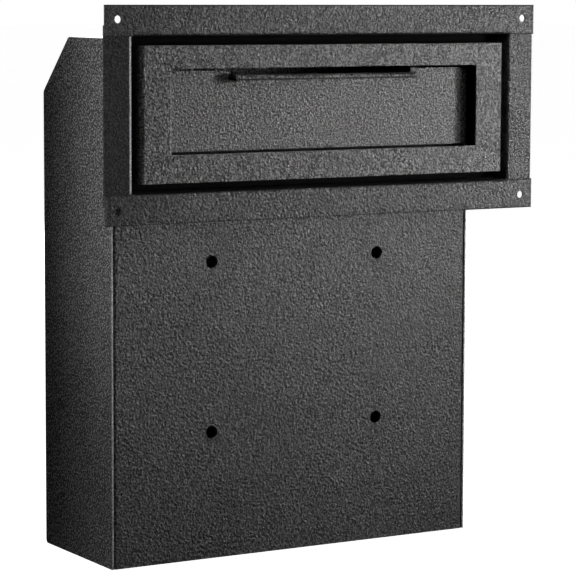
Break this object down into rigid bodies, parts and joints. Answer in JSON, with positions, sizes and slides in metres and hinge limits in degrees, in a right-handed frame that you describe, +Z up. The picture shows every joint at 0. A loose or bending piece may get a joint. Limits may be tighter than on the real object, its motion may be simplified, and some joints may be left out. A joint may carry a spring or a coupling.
{
  "type": "book drop box",
  "caption": "Through-the-door book drop box with a recessed pull-down deposit flap in a snout, a flanged trim frame and a locking rear door.",
  "frame": {"origin": "centre of the four door bolt holes, on the mounting face of the box", "axes": "+Z up, -Y out of the mounting face towards the patron, +X to the right seen from the patron's side"},
  "size_m": [0.419, 0.1888, 0.4725],
  "materials": {
    "black_powder_coat": "semi-gloss textured black powder coat",
    "zinc_plated_steel": "zinc plated",
    "lock_chrome": "polished",
    "black_rubber": "matte",
    "black_foam": "matte closed-cell foam"
  },
  "bodies": {
    "box": {"side_panel_left": "black_powder_coat", "side_panel_right": "black_powder_coat", "front_panel": "black_powder_coat", "bottom_panel": "black_powder_coat", "back_panel": "black_powder_coat", "roof_panel": "black_powder_coat", "snout_hood": "black_powder_coat", "snout_floor": "black_powder_coat", "snout_roof": "black_powder_coat", "weather_seal": "black_foam", "hinge_bracket_left": "black_powder_coat", "hinge_bracket_right": "black_powder_coat", "flap_axle": "zinc_plated_steel", "axle_clips": "zinc_plated_steel", "tray_bumpers": "black_rubber", "fishing_baffle": "black_powder_coat", "jamb_lock_side": "black_powder_coat", "jamb_hinge_side": "black_powder_coat", "jamb_bottom": "black_powder_coat", "jamb_top": "black_powder_coat", "hinge_leaf_box": "zinc_plated_steel", "hinge_pin": "zinc_plated_steel", "hinge_rivets_box": "zinc_plated_steel"},
    "trim": {"trim_top": "black_powder_coat", "trim_bottom": "black_powder_coat", "trim_left": "black_powder_coat", "trim_right": "black_powder_coat"},
    "flap": {"flap_panel": "black_powder_coat", "flap_tray": "black_powder_coat", "flap_cheek_left": "black_powder_coat", "flap_cheek_right": "black_powder_coat"},
    "door": {"rear_door": "black_powder_coat", "hinge_leaf_door": "zinc_plated_steel", "hinge_rivets_door": "zinc_plated_steel", "lock_housing": "lock_chrome", "lock_nut": "zinc_plated_steel"},
    "lock": {"lock_plug": "lock_chrome", "lock_cam": "zinc_plated_steel", "cam_screw": "zinc_plated_steel"}
  },
  "joints": [
    {"name": "trim_slide", "type": "slide", "parent": "box", "child": "trim", "axis": [0, 1, 0], "range_m": [0, 0.0175]},
    {"name": "flap_hinge", "type": "hinge", "parent": "box", "child": "flap", "pos_m": [0, -0.036, 0.1626], "axis": [1, 0, 0], "range_deg": [0, 45]},
    {"name": "rear_door_hinge", "type": "hinge", "parent": "box", "child": "door", "pos_m": [0.15485, 0.132, 0], "axis": [0, 0, -1], "range_deg": [0, 120]},
    {"name": "lock_turn", "type": "hinge", "parent": "door", "child": "lock", "pos_m": [-0.1341, 0.12, 0.0156], "axis": [0, 1, 0], "range_deg": [0, 90]}
  ]
}
